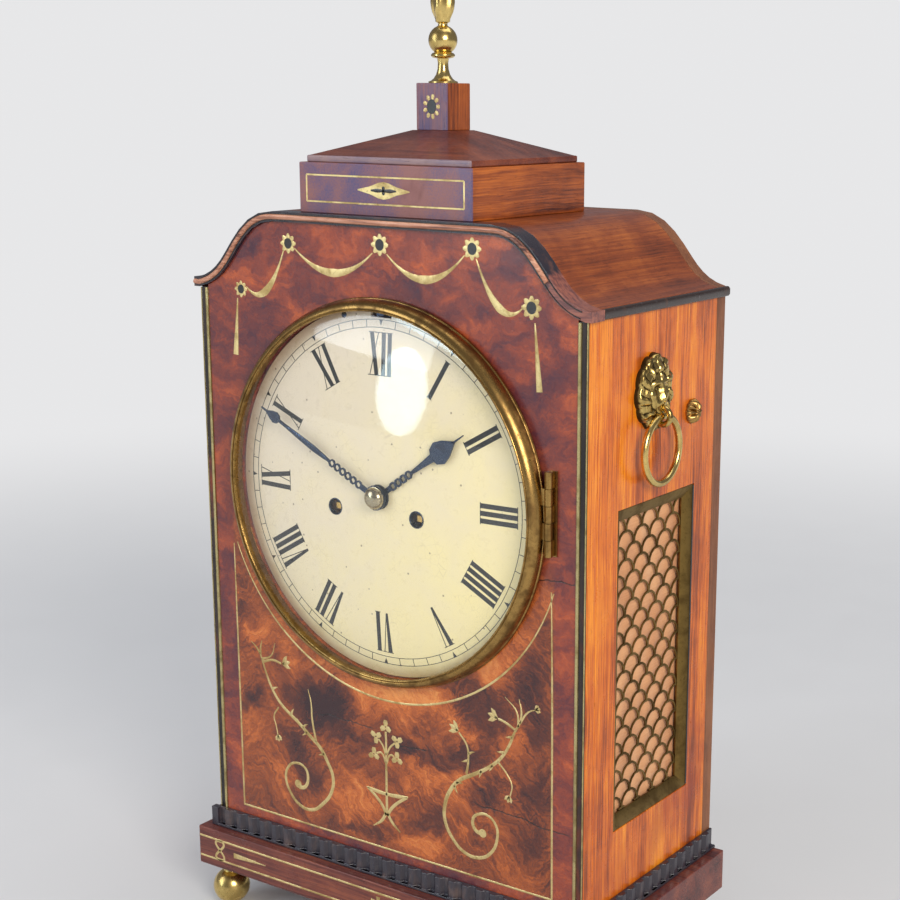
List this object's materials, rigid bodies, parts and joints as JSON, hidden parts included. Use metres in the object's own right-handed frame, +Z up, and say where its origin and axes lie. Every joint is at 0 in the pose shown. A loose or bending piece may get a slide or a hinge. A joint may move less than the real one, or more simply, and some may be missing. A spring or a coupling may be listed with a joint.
{
  "type": "bracket clock",
  "caption": "Mahogany bracket clock with arched shoulders, caddy top, convex glazed bezel, painted dial, pierced side frets, ring handles, ball feet and a two-train fusee movement.",
  "frame": {"origin": "centre of the footprint's bounding box, on the surface the feet stand on", "axes": "+Z up, -Y out of the dial towards the viewer, +X to the viewer's right"},
  "size_m": [0.2912, 0.17, 0.5621],
  "materials": {
    "mahogany": "french-polished red-brown mahogany",
    "flame_mahogany": "french-polished flame-figured mahogany with brass inlay",
    "honey_mahogany": "french-polished faded orange mahogany",
    "ebonised_wood": "ebonised and polished, with brass lines",
    "brass": "lacquered brass, worn and toned in the recesses",
    "movement_brass": "polished brass with steel arbors",
    "steel": "bright steel",
    "bell_metal": "silvery bell metal",
    "blued_steel": "heat-blued steel",
    "painted_dial": "aged cream paint with black numerals",
    "silk": "faded peach silk",
    "glass": "thin clear glass, slightly convex at the front"
  },
  "bodies": {
    "case": {"base_plinth": "mahogany", "foot_front_left": "brass", "foot_front_right": "brass", "foot_rear_left": "brass", "foot_rear_right": "brass", "ribbed_moulding": "ebonised_wood", "side_panel_left": "honey_mahogany", "side_panel_right": "honey_mahogany", "front_panel": "flame_mahogany", "corner_strip_left": "ebonised_wood", "corner_strip_right": "ebonised_wood", "top_edge_moulding": "mahogany", "roof": "mahogany", "eave_moulding_left": "ebonised_wood", "eave_moulding_right": "ebonised_wood", "back_frame": "mahogany", "caddy_block": "mahogany", "pyramid_cap": "mahogany", "finial_block": "mahogany", "finial": "brass", "fret_left": "brass", "fret_right": "brass", "fret_silk_left": "silk", "fret_silk_right": "silk", "handle_mask_left": "brass", "handle_mask_right": "brass", "side_knob": "brass", "bezel_hinge": "brass", "dial": "painted_dial", "front_plate": "movement_brass", "back_plate": "movement_brass", "seatboard": "mahogany", "bell": "bell_metal"},
    "bezel_door": {"bezel": "brass", "bezel_glass": "glass"},
    "back_door": {"rear_door": "mahogany", "rear_glass": "glass"},
    "door_catch": {"rear_catch": "brass"},
    "ring_left": {"handle_ring_left": "brass"},
    "ring_right": {"handle_ring_right": "brass"},
    "silent_lever": {"strike_silent_lever": "blued_steel"},
    "minute_group": {"cannon_wheel": "movement_brass", "minute_hand": "blued_steel", "hand_collet": "brass"},
    "minute_gear": {"minute_wheel": "movement_brass"},
    "hour_group": {"hour_wheel": "movement_brass", "hour_hand": "blued_steel"},
    "going_fusee_arbor": {"going_fusee": "movement_brass"},
    "going_barrel_arbor": {"going_barrel": "movement_brass"},
    "centre_arbor": {"centre_wheel": "movement_brass"},
    "third_arbor": {"third_wheel": "movement_brass"},
    "escape_arbor": {"escape_wheel": "movement_brass"},
    "anchor_arbor": {"anchor": "steel"},
    "pendulum_rod": {"pendulum": "movement_brass"},
    "strike_fusee_arbor": {"strike_fusee": "movement_brass"},
    "strike_barrel_arbor": {"strike_barrel": "movement_brass"},
    "pin_wheel_arbor": {"strike_pin_wheel": "movement_brass"},
    "pallet_wheel_arbor": {"strike_pallet_wheel": "movement_brass"},
    "fly_arbor": {"strike_fly": "movement_brass"},
    "hammer_arbor": {"strike_hammer": "steel"}
  },
  "joints": [
    {"name": "bezel_hinge_turn", "type": "hinge", "parent": "case", "child": "bezel_door", "pos_m": [0.111, -0.0672, 0.2845], "axis": [0, 0, 1], "range_deg": [0, 110]},
    {"name": "rear_door_hinge_turn", "type": "hinge", "parent": "case", "child": "back_door", "pos_m": [0.0987, 0.0735, 0.22125], "axis": [0, 0, -1], "range_deg": [0, 95]},
    {"name": "rear_catch_turn", "type": "hinge", "parent": "back_door", "child": "door_catch", "pos_m": [-0.0922, 0.0735, 0.22125], "axis": [0, -1, 0], "range_deg": [0, 90]},
    {"name": "ring_left_swing", "type": "hinge", "parent": "case", "child": "ring_left", "pos_m": [-0.1395, -0.0025, 0.3287], "axis": [0, 1, 0], "range_deg": [0, 100]},
    {"name": "ring_right_swing", "type": "hinge", "parent": "case", "child": "ring_right", "pos_m": [0.1395, -0.0025, 0.3287], "axis": [0, -1, 0], "range_deg": [0, 100]},
    {"name": "strike_silent_turn", "type": "hinge", "parent": "case", "child": "silent_lever", "pos_m": [0, -0.0573, 0.3365], "axis": [0, 1, 0], "range_deg": [-5, 5]},
    {"name": "minute_hand_turn", "type": "hinge", "parent": "case", "child": "minute_group", "pos_m": [0, -0.071, 0.2785], "axis": [0, 1, 0], "continuous": true},
    {"name": "minute_wheel_turn", "type": "hinge", "parent": "case", "child": "minute_gear", "pos_m": [0, -0.047, 0.2565], "axis": [0, 1, 0], "continuous": true},
    {"name": "hour_hand_turn", "type": "hinge", "parent": "case", "child": "hour_group", "pos_m": [0, -0.0684, 0.2785], "axis": [0, 1, 0], "continuous": true},
    {"name": "centre_wheel_turn", "type": "hinge", "parent": "case", "child": "centre_arbor", "pos_m": [0, -0.014, 0.2785], "axis": [0, 1, 0], "continuous": true},
    {"name": "going_fusee_turn", "type": "hinge", "parent": "case", "child": "going_fusee_arbor", "pos_m": [0.025, -0.014, 0.269], "axis": [0, 1, 0], "continuous": true},
    {"name": "going_barrel_turn", "type": "hinge", "parent": "case", "child": "going_barrel_arbor", "pos_m": [0.04, -0.014, 0.2305], "axis": [0, 1, 0], "continuous": true},
    {"name": "third_wheel_turn", "type": "hinge", "parent": "case", "child": "third_arbor", "pos_m": [-0.009, -0.014, 0.3011], "axis": [0, 1, 0], "continuous": true},
    {"name": "escape_wheel_turn", "type": "hinge", "parent": "case", "child": "escape_arbor", "pos_m": [0, -0.014, 0.3205], "axis": [0, 1, 0], "continuous": true},
    {"name": "pendulum_swing", "type": "hinge", "parent": "case", "child": "pendulum_rod", "pos_m": [0, 0.032, 0.3495], "axis": [0, 1, 0], "range_deg": [-3, 3]},
    {"name": "anchor_rock", "type": "hinge", "parent": "case", "child": "anchor_arbor", "pos_m": [0, -0.014, 0.342], "axis": [0, 1, 0], "range_deg": [-3.5, 3.5]},
    {"name": "strike_pin_wheel_turn", "type": "hinge", "parent": "case", "child": "pin_wheel_arbor", "pos_m": [-0.044, -0.014, 0.2931], "axis": [0, 1, 0], "continuous": true},
    {"name": "strike_fusee_turn", "type": "hinge", "parent": "case", "child": "strike_fusee_arbor", "pos_m": [-0.032, -0.014, 0.2685], "axis": [0, 1, 0], "continuous": true},
    {"name": "strike_barrel_turn", "type": "hinge", "parent": "case", "child": "strike_barrel_arbor", "pos_m": [-0.044, -0.014, 0.2305], "axis": [0, 1, 0], "continuous": true},
    {"name": "strike_pallet_wheel_turn", "type": "hinge", "parent": "case", "child": "pallet_wheel_arbor", "pos_m": [-0.038, -0.014, 0.3145], "axis": [0, 1, 0], "continuous": true},
    {"name": "strike_fly_turn", "type": "hinge", "parent": "case", "child": "fly_arbor", "pos_m": [-0.024, -0.014, 0.3285], "axis": [0, 1, 0], "continuous": true},
    {"name": "strike_hammer_lift", "type": "hinge", "parent": "case", "child": "hammer_arbor", "pos_m": [-0.054, -0.014, 0.3405], "axis": [0, -1, 0], "range_deg": [0, 12]}
  ],
  "couplings": [
    {"joint": "minute_wheel_turn", "follows": "minute_hand_turn", "ratio": -1},
    {"joint": "hour_hand_turn", "follows": "minute_hand_turn", "ratio": 0.083333},
    {"joint": "going_fusee_turn", "follows": "centre_wheel_turn", "ratio": -0.083333},
    {"joint": "going_barrel_turn", "follows": "centre_wheel_turn", "ratio": -0.061667},
    {"joint": "third_wheel_turn", "follows": "centre_wheel_turn", "ratio": -12},
    {"joint": "escape_wheel_turn", "follows": "centre_wheel_turn", "ratio": 132},
    {"joint": "anchor_rock", "follows": "pendulum_swing", "ratio": 1.1667},
    {"joint": "strike_fusee_turn", "follows": "strike_pin_wheel_turn", "ratio": -0.1},
    {"joint": "strike_barrel_turn", "follows": "strike_pin_wheel_turn", "ratio": -0.074},
    {"joint": "strike_pallet_wheel_turn", "follows": "strike_pin_wheel_turn", "ratio": -8},
    {"joint": "strike_fly_turn", "follows": "strike_pin_wheel_turn", "ratio": 56}
  ]
}
